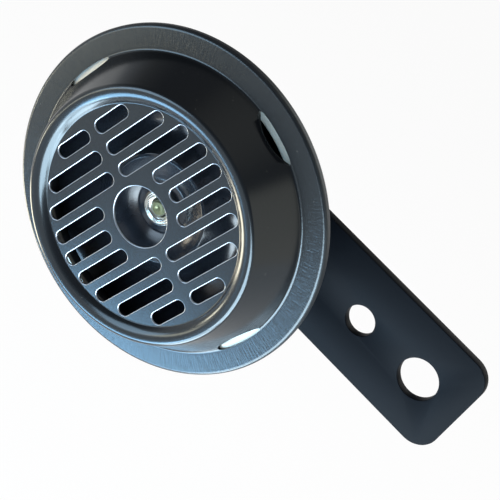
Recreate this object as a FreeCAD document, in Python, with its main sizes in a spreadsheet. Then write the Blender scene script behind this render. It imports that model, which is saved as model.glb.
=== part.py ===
import FreeCAD, Part
import math
import os
import Sketcher

os.makedirs("parts", exist_ok=True)

# An electric disc horn for a 12 V vehicle. Sizes are millimetres.
# Row frame: the origin is the centre of the bracket's M8 hole on the bracket's back face. X runs along the
# bracket away from the horn, Y points to the back, Z is up, so the horn sounds towards -Y.
# Every piece of the horn is drawn about the sound axis, with y = 0 on the front of the cover's flange.

SIZES = {
    # pressed front cover, counted in from the rim
    "rim_radius": 35.0,
    "cover_sheet": 0.55,
    "flange_width": 5.05,
    "lip_width": 3.1,
    "skirt_run": 4.75,
    "bead_width": 2.1,
    "bead_run": 1.3,
    "bead_height": 1.3,
    "grille_height": 8.4,
    # slots, the boss round the centre hole and the vents
    "slot_margin": 0.05,
    "slot_end_room": 3.47,
    "slot_bar": 1.97,
    "slot_web": 1.1,
    "centre_web": 1.84,
    "boss_side": 1.3,
    "boss_middle": 2.5,
    "vent_inset": 0.5,
    "vent_long_radius": 5.6,
    "vent_short_radius": 0.85,
    "grille_turn": 71.5,
    # sheets clamped in the rim
    "diaphragm_sheet": 0.25,
    "diaphragm_clearance": 0.35,
    "diaphragm_clamp": 5.4,
    "diaphragm_run": 1.4,
    "diaphragm_depth": 2.1,
    "gasket_sheet": 0.25,
    "gasket_width": 3.65,
    # rear housing
    "housing_sheet": 0.6,
    "housing_clearance": 0.5,
    "housing_flange": 3.75,
    "mouth_run": 1.6,
    "shoulder_width": 2.6,
    "shoulder_depth": 6.2,
    "housing_depth": 18.0,
    # tone disc and what holds it
    "tone_sheet": 0.8,
    "tone_edge_gap": 0.7,
    "tone_depth": 1.3,
    "tone_ridge_width": 0.6,
    "tone_ridge_front": 2.8,
    "tone_seat_front": 0.7,
    "spigot_radius": 1.6,
    "spigot_front": 2.4,
    "fit_gap": 0.3,
    "spacer_radius": 4.4,
    "tone_nut_radius": 3.7,
    "tone_nut_height": 1.35,
    # magnet
    "armature_inset": 0.5,
    "armature_thickness": 3.0,
    "air_gap": 0.6,
    "stud_radius": 4.0,
    "coil_clearance": 0.6,
    "bobbin_wall": 1.0,
    "bobbin_front": 1.1,
    "winding_inset": 0.4,
    # contact breaker
    "arm_width": 4.2,
    "arm_tip": 1.1,
    "stack_margin": 1.5,
    "clamp_sheet": 0.6,
    "arm_sheet": 0.4,
    "arm_clearance": 0.7,
    "contact_gap": 1.0,
    "fixed_arm_sheet": 0.6,
    "point_radius": 1.7,
    "button_radius": 1.1,
    "rivet_radius": 0.85,
    "rivet_head_radius": 1.35,
    "rivet_head_height": 0.6,
    "rivet_spread": 1.6,
    "inner_plate": 1.0,
    "screw_radius": 1.75,
    "screw_slot": 0.8,
    "screw_end": 0.5,
    "lock_nut_flats": 5.5,
    "lock_nut_height": 1.8,
    # terminals
    "terminal_width": 6.3,
    "terminal_sheet": 0.8,
    "terminal_reach": 6.4,
    "terminal_tip": 1.4,
    "terminal_hole_radius": 0.9,
    "terminal_hole_inset": 4.0,
    "insulator_sheet": 1.0,
    "insulator_margin": 0.5,
    # bracket and its fastening
    "bracket_clearance": 0.1,
    "bracket_thickness": 2.0,
    "bracket_width": 24.3,
    "bracket_corner": 5.0,
    "small_hole_gap": 5.6,
    "small_hole_radius": 3.3,
    "hole_spacing": 16.2,
    "large_hole_radius": 4.5,
    "bracket_end": 10.85,
    "collar_radius": 8.5,
    "washer_radius": 7.0,
    "washer_thickness": 2.0,
    "washer_split": 1.2,
    "hex_flats": 13.0,
    "hex_height": 6.5,
    "stud_rest": 1.5,
    "stud_chamfer": 0.7,
}

doc = FreeCAD.newDocument("disc_horn")
sheet = doc.addObject("Spreadsheet::Sheet", "Dims")
for row, (alias, value) in enumerate(SIZES.items(), start=1):
    sheet.set(f"A{row}", alias)
    sheet.set(f"B{row}", str(value))
    sheet.setAlias(f"B{row}", alias)
doc.recompute()


class Size:
    """A length kept both as a number and as the spreadsheet formula that drives it."""

    def __init__(self, value, text):
        self.value = float(value)
        self.text = text

    def join(self, other, sign, value, swap=False):
        a, b = (other.text, self.text) if swap else (self.text, other.text)
        return Size(value, f"({a} {sign} {b})")

    def __add__(self, other):
        other = size(other)
        return self.join(other, "+", self.value + other.value)

    def __radd__(self, other):
        return size(other) + self

    def __sub__(self, other):
        other = size(other)
        return self.join(other, "-", self.value - other.value)

    def __rsub__(self, other):
        return size(other) - self

    def __mul__(self, other):
        other = size(other)
        return self.join(other, "*", self.value * other.value)

    def __rmul__(self, other):
        return size(other) * self

    def __truediv__(self, other):
        other = size(other)
        return self.join(other, "/", self.value / other.value)

    def __neg__(self):
        return size(0) - self


def size(x):
    """A number or an alias of the spreadsheet as a Size."""
    if isinstance(x, Size):
        return x
    if isinstance(x, str):
        return Size(SIZES[x], f"Dims.{x}")
    return Size(x, repr(float(x)))


def root(x):
    return Size(math.sqrt(x.value), f"sqrt({x.text})")


def half_turn(rise, run):
    """The tangent of half the angle at which a wall leaves a flat of pressed sheet."""
    return Size(math.tan(math.atan(rise.value / run.value) / 2), f"tan(atan({rise.text} / {run.text}) / 2)")


def new_body(label, turned=False, on_bracket=False):
    """A body whose own origin is on the sound axis; turned bodies follow the direction of the grille."""
    body = doc.addObject("PartDesign::Body", label)
    body.Label = label
    depth = size("bracket_thickness") if on_bracket else bracket_seat + size("bracket_thickness")
    body.setExpression("Placement.Base.x", f"-({large_hole_place.text})")
    body.setExpression("Placement.Base.y", f"-({depth.text})")
    if turned:
        body.Placement = FreeCAD.Placement(FreeCAD.Vector(), FreeCAD.Rotation(FreeCAD.Vector(0, -1, 0), 71.5))
        body.setExpression("Placement.Rotation.Angle", "Dims.grille_turn")
    return body


def new_sketch(body, name, plane, depth=None):
    """A sketch on one of the body's own planes. On XZ, depth is how far back it lies."""
    sketch = body.newObject("Sketcher::SketchObject", f"{body.Name}_{name}")
    origin = [f for f in body.Origin.OriginFeatures if f.Role == plane][0]
    sketch.AttachmentSupport = [(origin, "")]
    sketch.MapMode = "FlatFace"
    if depth is not None:
        depth = size(depth)
        sketch.AttachmentOffset = FreeCAD.Placement(FreeCAD.Vector(0, 0, -depth.value), FreeCAD.Rotation())
        sketch.setExpression("AttachmentOffset.Base.z", f"-({depth.text})")
    return sketch


def pin(sketch, geo, pos, x, y):
    """Fixes one point of a sketch at a pair of sizes."""
    for kind, value, axis in (("DistanceX", size(x), -2), ("DistanceY", size(y), -1)):
        if value.text == "0.0":
            sketch.addConstraint(Sketcher.Constraint("PointOnObject", geo, pos, axis))
            continue
        number = sketch.addConstraint(Sketcher.Constraint(kind, -1, 1, geo, pos, value.value))
        name = f"{kind[-1].lower()}{number}"
        sketch.renameConstraint(number, name)
        sketch.setExpression(f"Constraints.{name}", value.text)


def polygon(sketch, points):
    """A closed outline through pinned points."""
    places = [FreeCAD.Vector(size(x).value, size(y).value, 0) for x, y in points]
    first = sketch.GeometryCount
    count = len(places)
    for i in range(count):
        sketch.addGeometry(Part.LineSegment(places[i], places[(i + 1) % count]), False)
    for i in range(count):
        sketch.addConstraint(Sketcher.Constraint("Coincident", first + i, 2, first + (i + 1) % count, 1))
    for i, (x, y) in enumerate(points):
        pin(sketch, first + i, 1, x, y)


def bind(sketch, constraint, name, value):
    number = sketch.addConstraint(constraint)
    sketch.renameConstraint(number, name)
    sketch.setExpression(f"Constraints.{name}", size(value).text)


def circle(sketch, x, y, radius):
    x, y, radius = size(x), size(y), size(radius)
    geo = sketch.addGeometry(
        Part.Circle(FreeCAD.Vector(x.value, y.value, 0), FreeCAD.Vector(0, 0, 1), radius.value), False
    )
    pin(sketch, geo, 3, x, y)
    bind(sketch, Sketcher.Constraint("Radius", geo, radius.value), f"r{geo}", radius)


def slot(sketch, left, right, height, radius):
    """A round-ended slot along the sketch's x between the centres of its two ends."""
    left, right, height, radius = size(left), size(right), size(height), size(radius)
    up = FreeCAD.Vector(0, 0, 1)
    a = FreeCAD.Vector(left.value, height.value, 0)
    b = FreeCAD.Vector(right.value, height.value, 0)
    r = radius.value
    geo = sketch.GeometryCount
    sketch.addGeometry(Part.ArcOfCircle(Part.Circle(a, up, r), math.pi / 2, 3 * math.pi / 2), False)
    sketch.addGeometry(Part.ArcOfCircle(Part.Circle(b, up, r), -math.pi / 2, math.pi / 2), False)
    down = FreeCAD.Vector(0, -r, 0)
    sketch.addGeometry(Part.LineSegment(a + down, b + down), False)
    sketch.addGeometry(Part.LineSegment(b - down, a - down), False)
    sketch.addConstraint(Sketcher.Constraint("Tangent", geo, 2, geo + 2, 1))
    sketch.addConstraint(Sketcher.Constraint("Tangent", geo + 2, 2, geo + 1, 1))
    sketch.addConstraint(Sketcher.Constraint("Tangent", geo + 1, 2, geo + 3, 1))
    sketch.addConstraint(Sketcher.Constraint("Tangent", geo + 3, 2, geo, 1))
    pin(sketch, geo, 3, left, height)
    pin(sketch, geo + 1, 3, right, height)
    bind(sketch, Sketcher.Constraint("Radius", geo, r), f"r{geo}", radius)


def turned_solid(body, name, points):
    """A solid of revolution about the sound axis from (radius, depth) points."""
    sketch = new_sketch(body, f"{name}_profile", "XY_Plane")
    polygon(sketch, points)
    part = body.newObject("PartDesign::Revolution", f"{body.Name}_{name}")
    part.Profile = sketch
    part.ReferenceAxis = (sketch, ["V_Axis"])
    part.Angle = 360
    doc.recompute()
    return part


def pad(body, name, sketch, length):
    """Raises a sketch of the XZ plane towards the front."""
    part = body.newObject("PartDesign::Pad", f"{body.Name}_{name}")
    part.Profile = sketch
    part.Length = size(length).value
    part.setExpression("Length", size(length).text)
    doc.recompute()
    return part


def cut_through(body, name, sketch):
    """Cuts a sketch of the XZ plane right through the body, both ways."""
    before = body.Shape.Volume
    part = body.newObject("PartDesign::Pocket", f"{body.Name}_{name}")
    part.Profile = sketch
    part.Type = "ThroughAll"
    part.Midplane = True
    doc.recompute()
    if part.Shape.Volume >= before:
        raise RuntimeError(f"{name} removed nothing from {body.Label}")
    return part


def pattern(body, name, feature, count):
    """Repeats a cut round the sound axis."""
    part = body.newObject("PartDesign::PolarPattern", f"{body.Name}_{name}")
    part.Originals = [feature]
    axis = [f for f in body.Origin.OriginFeatures if f.Role == "Y_Axis"][0]
    part.Axis = (axis, [""])
    part.Angle = 360
    part.Occurrences = count
    body.Tip = part
    doc.recompute()
    return part


def round_edges(body, name, places, radius):
    """Fillets the circular edges that lie at the given (radius, depth) places."""
    base = body.Tip
    names = []
    for r, depth in places:
        r, depth = size(r).value, size(depth).value
        for i, edge in enumerate(base.Shape.Edges, start=1):
            if not hasattr(edge.Curve, "Radius"):
                continue
            centre = edge.Curve.Center
            if abs(edge.Curve.Radius - r) < 1e-3 and abs(centre.y - depth) < 1e-3 and abs(centre.x) < 1e-3:
                names.append(f"Edge{i}")
    if len(names) != len(places):
        raise RuntimeError(f"{name}: {len(names)} edges for {len(places)} places")
    part = body.newObject("PartDesign::Fillet", f"{body.Name}_{name}")
    part.Base = (base, names)
    part.Radius = radius
    doc.recompute()
    return part


def other_side(points, gap):
    """The far face of a pressed sheet whose near face alternates between flats and sloping walls."""
    gap = size(gap)
    far = []
    last = len(points) - 1
    for i, (r, depth) in enumerate(points):
        r, depth = size(r), size(depth)
        if 0 < i < last:
            a, b = (points[i], points[i + 1]) if i % 2 else (points[i - 1], points[i])
            rise = size(b[1]) - size(a[1])
            run = size(b[0]) - size(a[0])
            r = r - gap * half_turn(rise, run)
        far.append((r, depth + gap))
    return far


def rectangle(left, right, low, high):
    return [(left, low), (right, low), (right, high), (left, high)]


def plate(body, name, outline, holes, front, back):
    """A flat piece square to the sound axis, between two depths, with round holes."""
    sketch = new_sketch(body, f"{name}_outline", "XZ_Plane", back)
    polygon(sketch, outline)
    for x, z, radius in holes:
        circle(sketch, x, z, radius)
    return pad(body, name, sketch, size(back) - size(front))


def disc(body, name, x, z, radius, front, back):
    """A round pin or washer square to the sound axis."""
    sketch = new_sketch(body, f"{name}_circle", "XZ_Plane", back)
    circle(sketch, x, z, radius)
    return pad(body, name, sketch, size(back) - size(front))


# Depths that several pieces share, counted back from the front of the cover's flange.
grille_front = -size("grille_height")
bead_front = grille_front - size("bead_height")
diaphragm_front = size("cover_sheet")
gasket_front = diaphragm_front + size("diaphragm_sheet")
flange_front = gasket_front + size("gasket_sheet")
flange_back = flange_front + size("housing_sheet")
lip_back = flange_back + size("cover_sheet")
diaphragm_flat = diaphragm_front + size("diaphragm_depth")
armature_front = diaphragm_flat + size("diaphragm_sheet")
armature_back = armature_front + size("armature_thickness")
core_front = armature_back + size("air_gap")
arm_front = armature_back + size("arm_clearance")
housing_back = size("housing_depth")
inside_back = housing_back - size("housing_sheet")
terminal_foot = housing_back + size("insulator_sheet")
terminal_face = terminal_foot + size("terminal_sheet")
bracket_seat = terminal_face + size("rivet_head_height") + size("bracket_clearance")
tone_seat = -size("tone_seat_front")
tone_seat_back = tone_seat + size("tone_sheet")

# Radii of the pressings, each counted in from the one outside it.
rim = size("rim_radius")
skirt_foot = rim - size("flange_width")
bead_outer = skirt_foot - size("skirt_run")
bead_inner = bead_outer - size("bead_width")
grille_radius = bead_inner - size("bead_run")
slot_reach = grille_radius - size("slot_margin")
slot_pitch = (slot_reach - size("slot_end_room")) / 4
slot_radius = (slot_pitch - size("slot_bar")) / 2
centre_hole = 2 * slot_pitch - slot_radius - size("centre_web")
diaphragm_radius = rim - size("cover_sheet") - size("diaphragm_clearance")
diaphragm_step = diaphragm_radius - size("diaphragm_clamp")
diaphragm_foot = diaphragm_step - size("diaphragm_run")
tone_edge = diaphragm_foot - size("tone_edge_gap")
housing_radius = rim - size("cover_sheet") - size("housing_clearance")
housing_mouth = housing_radius - size("housing_flange")
shoulder_outer = housing_mouth - size("mouth_run")
shoulder_inner = shoulder_outer - size("shoulder_width")
back_radius = rim * 2 / 3

# Places inside the housing, which all follow its back.
contact_drop = back_radius * 2 / 3
terminal_place = back_radius * 2 / 5
rivet_first = terminal_place + size("rivet_spread")
rivet_second = terminal_place - size("rivet_spread")
coil_radius = contact_drop - size("arm_width") / 2 - size("coil_clearance")
core_radius = (coil_radius + size("fit_gap")) / 2

# Places along the bracket, counted from the sound axis.
small_hole_place = rim + size("small_hole_gap")
large_hole_place = small_hole_place + size("hole_spacing")
bracket_length = large_hole_place + size("bracket_end")

# Holes with room for what passes through them.
spigot_hole = size("spigot_radius") + size("fit_gap")
stud_hole = size("stud_radius") + size("fit_gap")
rivet_hole = size("rivet_radius") + size("fit_gap")
housing_rivet_hole = rivet_hole + 0.4


def front_cover():
    """One pressed cover: grille, bead, skirt and flange, its edge turned back behind the housing's flange."""
    body = new_body("front_cover", turned=True)
    front = [
        (centre_hole, grille_front),
        (grille_radius, grille_front),
        (bead_inner, bead_front),
        (bead_outer, bead_front),
        (skirt_foot, 0),
        (rim, 0),
    ]
    back = other_side(front, "cover_sheet")
    rim_inside = rim - size("cover_sheet")
    lip_inner = rim - size("lip_width")
    back[-1] = (rim_inside, size("cover_sheet"))
    lip = [
        (rim, lip_back),
        (lip_inner, lip_back),
        (lip_inner, flange_back),
        (rim_inside, flange_back),
    ]
    turned_solid(body, "pressing", front + lip + back[::-1])
    # bends: the outside of each bend is one sheet wider than its inside
    round_edges(body, "grille_bend_front", [front[1]], 0.5)
    round_edges(body, "grille_bend_back", [back[1]], 1.05)
    round_edges(body, "bead_front", [front[2], front[3]], 1.1)
    round_edges(body, "bead_back", [back[2], back[3]], 0.55)
    round_edges(body, "foot_front", [front[4]], 0.7)
    round_edges(body, "foot_back", [back[4]], 1.25)
    round_edges(body, "rim_outside", [front[5], lip[0]], 0.75)
    round_edges(body, "rim_inside", [back[5], lip[3]], 0.2)

    # nine rows of slots on the right-hand half; the left half is the same, half a turn round
    sketch = new_sketch(body, "slot_rows", "XZ_Plane")
    for row in range(-4, 5):
        height = row * slot_pitch
        reach = root(slot_reach * slot_reach - height * height)
        inner = size("slot_web")
        if abs(row) < 2:
            inner = centre_hole + size("boss_side" if row else "boss_middle")
        slot(sketch, inner + slot_radius, reach - slot_radius, height, slot_radius)
    rows = cut_through(body, "slots", sketch)
    pattern(body, "both_halves", rows, 2)

    # four narrow vents at the foot of the skirt
    sketch = new_sketch(body, "vent_outline", "XZ_Plane")
    vent_distance = skirt_foot - size("vent_inset")
    centre = FreeCAD.Vector(vent_distance.value, 0, 0)
    long_end = centre + FreeCAD.Vector(0, SIZES["vent_long_radius"], 0)
    short_end = centre + FreeCAD.Vector(SIZES["vent_short_radius"], 0, 0)
    sketch.addGeometry(Part.Ellipse(long_end, short_end, centre), False)
    sketch.exposeInternalGeometry(0)
    sketch.addConstraint(Sketcher.Constraint("Vertical", 1))
    pin(sketch, 0, 3, vent_distance, 0)
    bind(sketch, Sketcher.Constraint("Distance", 1, 2 * SIZES["vent_long_radius"]), "long", 2 * size("vent_long_radius"))
    bind(sketch, Sketcher.Constraint("Distance", 2, 2 * SIZES["vent_short_radius"]), "short", 2 * size("vent_short_radius"))
    vent = cut_through(body, "vent", sketch)
    pattern(body, "vents", vent, 4)
    return body


def rim_parts():
    """The diaphragm and the paper gasket, clamped flat between the cover and the rear housing."""
    diaphragm = new_body("diaphragm")
    front = [
        (spigot_hole, diaphragm_flat),
        (diaphragm_foot, diaphragm_flat),
        (diaphragm_step, diaphragm_front),
        (diaphragm_radius, diaphragm_front),
    ]
    turned_solid(diaphragm, "sheet", front + other_side(front, "diaphragm_sheet")[::-1])
    gasket = new_body("rim_gasket")
    inner = housing_radius - size("gasket_width")
    turned_solid(gasket, "ring", rectangle(inner, housing_radius, gasket_front, flange_front))
    return [diaphragm, gasket]


def rear_housing():
    """One pressed cup with a shoulder, closed at the back."""
    body = new_body("rear_housing")
    back = [
        (stud_hole, housing_back),
        (back_radius, housing_back),
        (shoulder_inner, "shoulder_depth"),
        (shoulder_outer, "shoulder_depth"),
        (housing_mouth, flange_back),
        (housing_radius, flange_back),
    ]
    front = other_side(back, -size("housing_sheet"))
    turned_solid(body, "pressing", back + front[::-1])
    round_edges(body, "back_outside", [back[1], back[3]], 1.6)
    round_edges(body, "back_inside", [front[1], front[3]], 1.0)
    round_edges(body, "step_outside", [back[2], back[4]], 0.6)
    round_edges(body, "step_inside", [front[2], front[4]], 1.2)
    sketch = new_sketch(body, "hole_circles", "XZ_Plane", inside_back)
    for place in (-rivet_first, -rivet_second, terminal_place):
        circle(sketch, place, -contact_drop, housing_rivet_hole)
    circle(sketch, 0, -contact_drop, size("screw_radius") + size("fit_gap"))
    cut_through(body, "holes", sketch)
    return body


def tone_parts():
    """The tone disc, which fills the dish of the diaphragm, with its spacer and round nut on the armature's spigot."""
    tone = new_body("tone_disc")
    front = [
        (spigot_hole, tone_seat),
        (grille_radius / 4, tone_seat),
        (grille_radius / 2 - size("tone_ridge_width"), -size("tone_ridge_front")),
        (grille_radius / 2, -size("tone_ridge_front")),
        (grille_radius * 5 / 7, "tone_depth"),
        (tone_edge, "tone_depth"),
    ]
    back = other_side(front, "tone_sheet")
    turned_solid(tone, "pressing", front + back[::-1])
    round_edges(tone, "seat_bend", [front[1]], 0.8)
    round_edges(tone, "foot_bend", [front[4]], 2.5)
    round_edges(tone, "edge", [front[5]], 0.25)
    spacer = new_body("tone_disc_spacer")
    turned_solid(spacer, "ring", rectangle(spigot_hole, "spacer_radius", tone_seat_back, diaphragm_flat))
    nut = new_body("tone_disc_nut")
    top = tone_seat - size("tone_nut_height")
    ring = [
        (spigot_hole, tone_seat),
        ("tone_nut_radius", tone_seat),
        ("tone_nut_radius", top + 0.45),
        (size("tone_nut_radius") - 0.45, top),
        (spigot_hole + 0.55, top),
        (spigot_hole, top + 0.45),
    ]
    turned_solid(nut, "ring", ring)
    return [tone, spacer, nut]


def armature():
    """A steel disc with a spigot that carries the diaphragm and the tone disc."""
    body = new_body("armature")
    tip = -size("spigot_front")
    edge = contact_drop - size("armature_inset")
    outline = [
        (0, armature_back),
        (edge, armature_back),
        (edge, armature_front),
        ("spigot_radius", armature_front),
        ("spigot_radius", tip + 0.4),
        (size("spigot_radius") - 0.4, tip),
        (0.6, tip),
        (0, tip + 0.35),
    ]
    turned_solid(body, "turning", outline)
    return body


def magnet():
    """The pole core with its stud, the bobbin and the winding."""
    core = new_body("pole_core")
    end = bracket_seat + size("bracket_thickness") + size("washer_thickness")
    end += size("hex_height") + size("stud_rest")
    outline = [
        (0, core_front),
        (core_radius - 0.4, core_front),
        (core_radius, core_front + 0.4),
        (core_radius, inside_back),
        ("stud_radius", inside_back),
        ("stud_radius", end - size("stud_chamfer")),
        (size("stud_radius") - size("stud_chamfer"), end),
        (0, end),
    ]
    turned_solid(core, "turning", outline)
    bobbin = new_body("coil_bobbin")
    bore = core_radius + size("fit_gap")
    tube = bore + size("bobbin_wall")
    front = core_front + size("bobbin_front")
    flange = front + size("bobbin_wall")
    rear_flange = inside_back - size("bobbin_wall")
    outline = [
        (bore, front),
        (coil_radius, front),
        (coil_radius, flange),
        (tube, flange),
        (tube, rear_flange),
        (coil_radius, rear_flange),
        (coil_radius, inside_back),
        (bore, inside_back),
    ]
    turned_solid(bobbin, "moulding", outline)
    winding = new_body("coil_winding")
    outside = coil_radius - size("winding_inset")
    turned_solid(winding, "copper", rectangle(tube + size("fit_gap"), outside, flange, rear_flange))
    return [core, bobbin, winding]


def contact_breaker():
    """Two spring arms on an insulating block, parted when the armature pushes the front one."""
    drop = -contact_drop
    low, high = drop - size("arm_width") / 2, drop + size("arm_width") / 2
    left, stack = -rivet_first - size("stack_margin"), -rivet_second + size("stack_margin")
    right = terminal_place + size("arm_tip")
    arm_back = arm_front + size("arm_sheet")
    fixed_front = arm_back + size("contact_gap")
    fixed_back = fixed_front + size("fixed_arm_sheet")
    rivets = [(-rivet_first, drop, rivet_hole), (-rivet_second, drop, rivet_hole)]
    pieces = []

    for label, reach, front, back in (
        ("contact_clamp_plate", stack, arm_front - size("clamp_sheet"), arm_front),
        ("moving_contact_arm", right, arm_front, arm_back),
        ("contact_insulator", stack, arm_back, fixed_front),
        ("fixed_contact_arm", right, fixed_front, fixed_back),
        ("contact_block", stack, fixed_back, inside_back),
    ):
        body = new_body(label)
        plate(body, "plate", rectangle(left, reach, low, high), rivets, front, back)
        pieces.append(body)

    middle = arm_back + size("contact_gap") / 2
    point = right - size("point_radius")
    for label, x, z, radius, front, back in (
        ("moving_contact_point", point, drop, "point_radius", arm_back, middle),
        ("fixed_contact_point", point, drop, "point_radius", middle, fixed_front),
        ("armature_button", 0.0, high - size("button_radius"), "button_radius", armature_back, arm_front),
    ):
        body = new_body(label)
        disc(body, "disc", x, z, radius, front, back)
        pieces.append(body)
    return pieces, fixed_back


def adjusting_screw(tip):
    """The slotted screw that sets the contact gap from outside, and its lock nut."""
    z = -contact_drop
    head = housing_back + size("lock_nut_height")
    end = head + size("screw_end")
    screw = new_body("adjusting_screw")
    disc(screw, "shank", 0, z, "screw_radius", tip, end)
    sketch = new_sketch(screw, "slot_outline", "XZ_Plane", end)
    half, reach = size("screw_slot") / 2, size("screw_radius") + 0.5
    polygon(sketch, rectangle(-reach, reach, z - half, z + half))
    groove = screw.newObject("PartDesign::Pocket", "screw_slot_cut")
    groove.Profile = sketch
    groove.Length = 0.9
    groove.Reversed = True
    doc.recompute()
    nut = new_body("screw_lock_nut")
    hexagon_plate(nut, z, "lock_nut_flats", size("screw_radius") + size("fit_gap"), housing_back, head)
    return [screw, nut]


def hexagon_plate(body, z, flats, hole, front, back):
    """A thin hexagon nut with two of its flats facing the two terminals."""
    half = size(flats) / 2
    side = half / 1.7320508
    corners = [
        (-half, z - side),
        (0, z - side * 2),
        (half, z - side),
        (half, z + side),
        (0, z + side * 2),
        (-half, z + side),
    ]
    plate(body, "hexagon", corners, [(0, z, hole)], front, back)


def rivet(body, name, x, z, stations):
    """A riveted pin: a head, the shank and the other head, at four depths."""
    front, shank_front, shank_back, back = stations
    disc(body, f"{name}_front_head", x, z, "rivet_head_radius", front, shank_front)
    disc(body, f"{name}_shank", x, z, "rivet_radius", shank_front, shank_back)
    disc(body, f"{name}_back_head", x, z, "rivet_head_radius", shank_back, back)


def terminals():
    """Two 6.3 mm spade terminals on insulating plates, with the rivets that hold them."""
    drop = -contact_drop
    half = size("terminal_width") / 2
    margin = size("insulator_margin")
    head = size("rivet_head_height")
    low, high = drop - size("arm_width") / 2, drop + size("arm_width") / 2
    tip, end = size("terminal_tip"), -back_radius - size("terminal_reach")
    pieces = []
    sides = (
        ("left", -terminal_place, [(-rivet_first, drop, rivet_hole), (-rivet_second, drop, rivet_hole)]),
        ("right", terminal_place, [(terminal_place, drop, rivet_hole)]),
    )
    for side, x, holes in sides:
        body = new_body(f"{side}_terminal_insulator")
        outline = rectangle(x - half - margin, x + half + margin, low - margin, high + margin)
        plate(body, "plate", outline, holes, housing_back, terminal_foot)
        pieces.append(body)
        body = new_body(f"{side}_terminal")
        outline = [
            (x - half, high),
            (x - half, end + tip),
            (x - half + tip, end),
            (x + half - tip, end),
            (x + half, end + tip),
            (x + half, high),
        ]
        lock_hole = (x, end + size("terminal_hole_inset"), "terminal_hole_radius")
        plate(body, "blade", outline, holes + [lock_hole], terminal_foot, terminal_face)
        pieces.append(body)

    inner = new_body("inner_terminal_insulator")
    inner_front = inside_back - size("inner_plate")
    span = size("arm_width") / 2
    outline = rectangle(terminal_place - span, terminal_place + span, low, high)
    plate(inner, "plate", outline, [(terminal_place, drop, rivet_hole)], inner_front, inside_back)
    pieces.append(inner)

    clamp = arm_front - size("clamp_sheet")
    for label, x, front in (
        ("contact_rivet_outer", -rivet_first, clamp),
        ("contact_rivet_inner", -rivet_second, clamp),
        ("terminal_rivet", terminal_place, inner_front),
    ):
        body = new_body(label)
        rivet(body, "rivet", x, drop, (front - head, front, terminal_face, terminal_face + head))
        pieces.append(body)
    return pieces


def bracket():
    """A flat steel strip with three holes, round at the horn's end."""
    body = new_body("bracket", on_bracket=True)
    half = size("bracket_width") / 2
    sketch = new_sketch(body, "outline", "XZ_Plane", "bracket_thickness")
    h, far = half.value, bracket_length.value
    v = FreeCAD.Vector
    sketch.addGeometry(Part.LineSegment(v(0, -h, 0), v(far, -h, 0)), False)
    sketch.addGeometry(Part.LineSegment(v(far, -h, 0), v(far, h, 0)), False)
    sketch.addGeometry(Part.LineSegment(v(far, h, 0), v(0, h, 0)), False)
    end = Part.Circle(v(0, 0, 0), v(0, 0, 1), h)
    sketch.addGeometry(Part.ArcOfCircle(end, math.pi / 2, 3 * math.pi / 2), False)
    for i in range(2):
        sketch.addConstraint(Sketcher.Constraint("Coincident", i, 2, i + 1, 1))
    sketch.addConstraint(Sketcher.Constraint("Tangent", 2, 2, 3, 1))
    sketch.addConstraint(Sketcher.Constraint("Coincident", 3, 2, 0, 1))
    sketch.addConstraint(Sketcher.Constraint("Coincident", 3, 3, -1, 1))
    pin(sketch, 0, 2, bracket_length, -half)
    pin(sketch, 1, 2, bracket_length, half)
    pin(sketch, 0, 1, 0, -half)
    circle(sketch, 0, 0, stud_hole)
    circle(sketch, small_hole_place, 0, "small_hole_radius")
    circle(sketch, large_hole_place, 0, "large_hole_radius")
    pad(body, "strip", sketch, "bracket_thickness")
    base = body.Tip
    corners = []
    for i, edge in enumerate(base.Shape.Edges, start=1):
        ends = [p.Point for p in edge.Vertexes]
        if len(ends) == 2 and all(abs(p.x - far) < 1e-3 for p in ends) and abs(ends[0].z - ends[1].z) < 1e-3:
            corners.append(f"Edge{i}")
    fillet = body.newObject("PartDesign::Fillet", "bracket_corners")
    fillet.Base = (base, corners)
    fillet.Radius = SIZES["bracket_corner"]
    fillet.setExpression("Radius", "Dims.bracket_corner")
    doc.recompute()
    return body


def fastening():
    """The collar behind the housing, the spring washer and the hexagon nut that clamp the bracket."""
    collar = new_body("stud_collar")
    turned_solid(collar, "ring", rectangle(stud_hole, "collar_radius", housing_back, bracket_seat))

    washer = new_body("spring_washer")
    front = bracket_seat + size("bracket_thickness")
    back = front + size("washer_thickness")
    turned_solid(washer, "ring", rectangle(stud_hole, "washer_radius", front, back))
    sketch = new_sketch(washer, "split_outline", "XZ_Plane", front)
    half = size("washer_split") / 2
    reach = size("washer_radius") + 1
    polygon(sketch, [(-half - 0.5, 1.0), (half - 0.5, 1.0), (half + 0.5, reach), (-half + 0.5, reach)])
    cut_through(washer, "split", sketch)

    nut = new_body("hexagon_nut")
    corner = size("hex_flats") / 1.7320508
    top = back + size("hex_height")
    chamfer = corner - size("hex_flats") / 2
    outline = [
        (stud_hole, back),
        (corner - chamfer, back),
        (corner, back + chamfer * 0.577),
        (corner, top - chamfer * 0.577),
        (corner - chamfer, top),
        (stud_hole, top),
    ]
    turned_solid(nut, "blank", outline)
    sketch = new_sketch(nut, "flats_outline", "XZ_Plane", front)
    half, side = size("hex_flats") / 2, corner / 2
    polygon(
        sketch,
        [(side, -half), (corner, 0), (side, half), (-side, half), (-corner, 0), (-side, -half)],
    )
    circle(sketch, 0, 0, size("hex_flats"))
    cut_through(nut, "flats", sketch)
    return [collar, washer, nut]


pieces = [front_cover(), rear_housing(), armature()]
pieces += rim_parts()
pieces += tone_parts()
pieces += magnet()
breaker, screw_tip = contact_breaker()
pieces += breaker
pieces += adjusting_screw(screw_tip)
pieces += terminals()
pieces.append(bracket())
pieces += fastening()

doc.recompute()
for thing in doc.Objects:
    if "Invalid" in thing.State or "Error" in thing.State:
        raise RuntimeError(f"{thing.Name} is {thing.State}")
for piece in pieces:
    if piece.Shape.isNull() or not piece.Shape.isValid() or len(piece.Shape.Solids) != 1:
        raise RuntimeError(f"{piece.Label} has no sound solid")
    piece.Shape.exportStep(f"parts/{piece.Label}.step")
print(len(pieces), "pieces")
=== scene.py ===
import math

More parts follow.
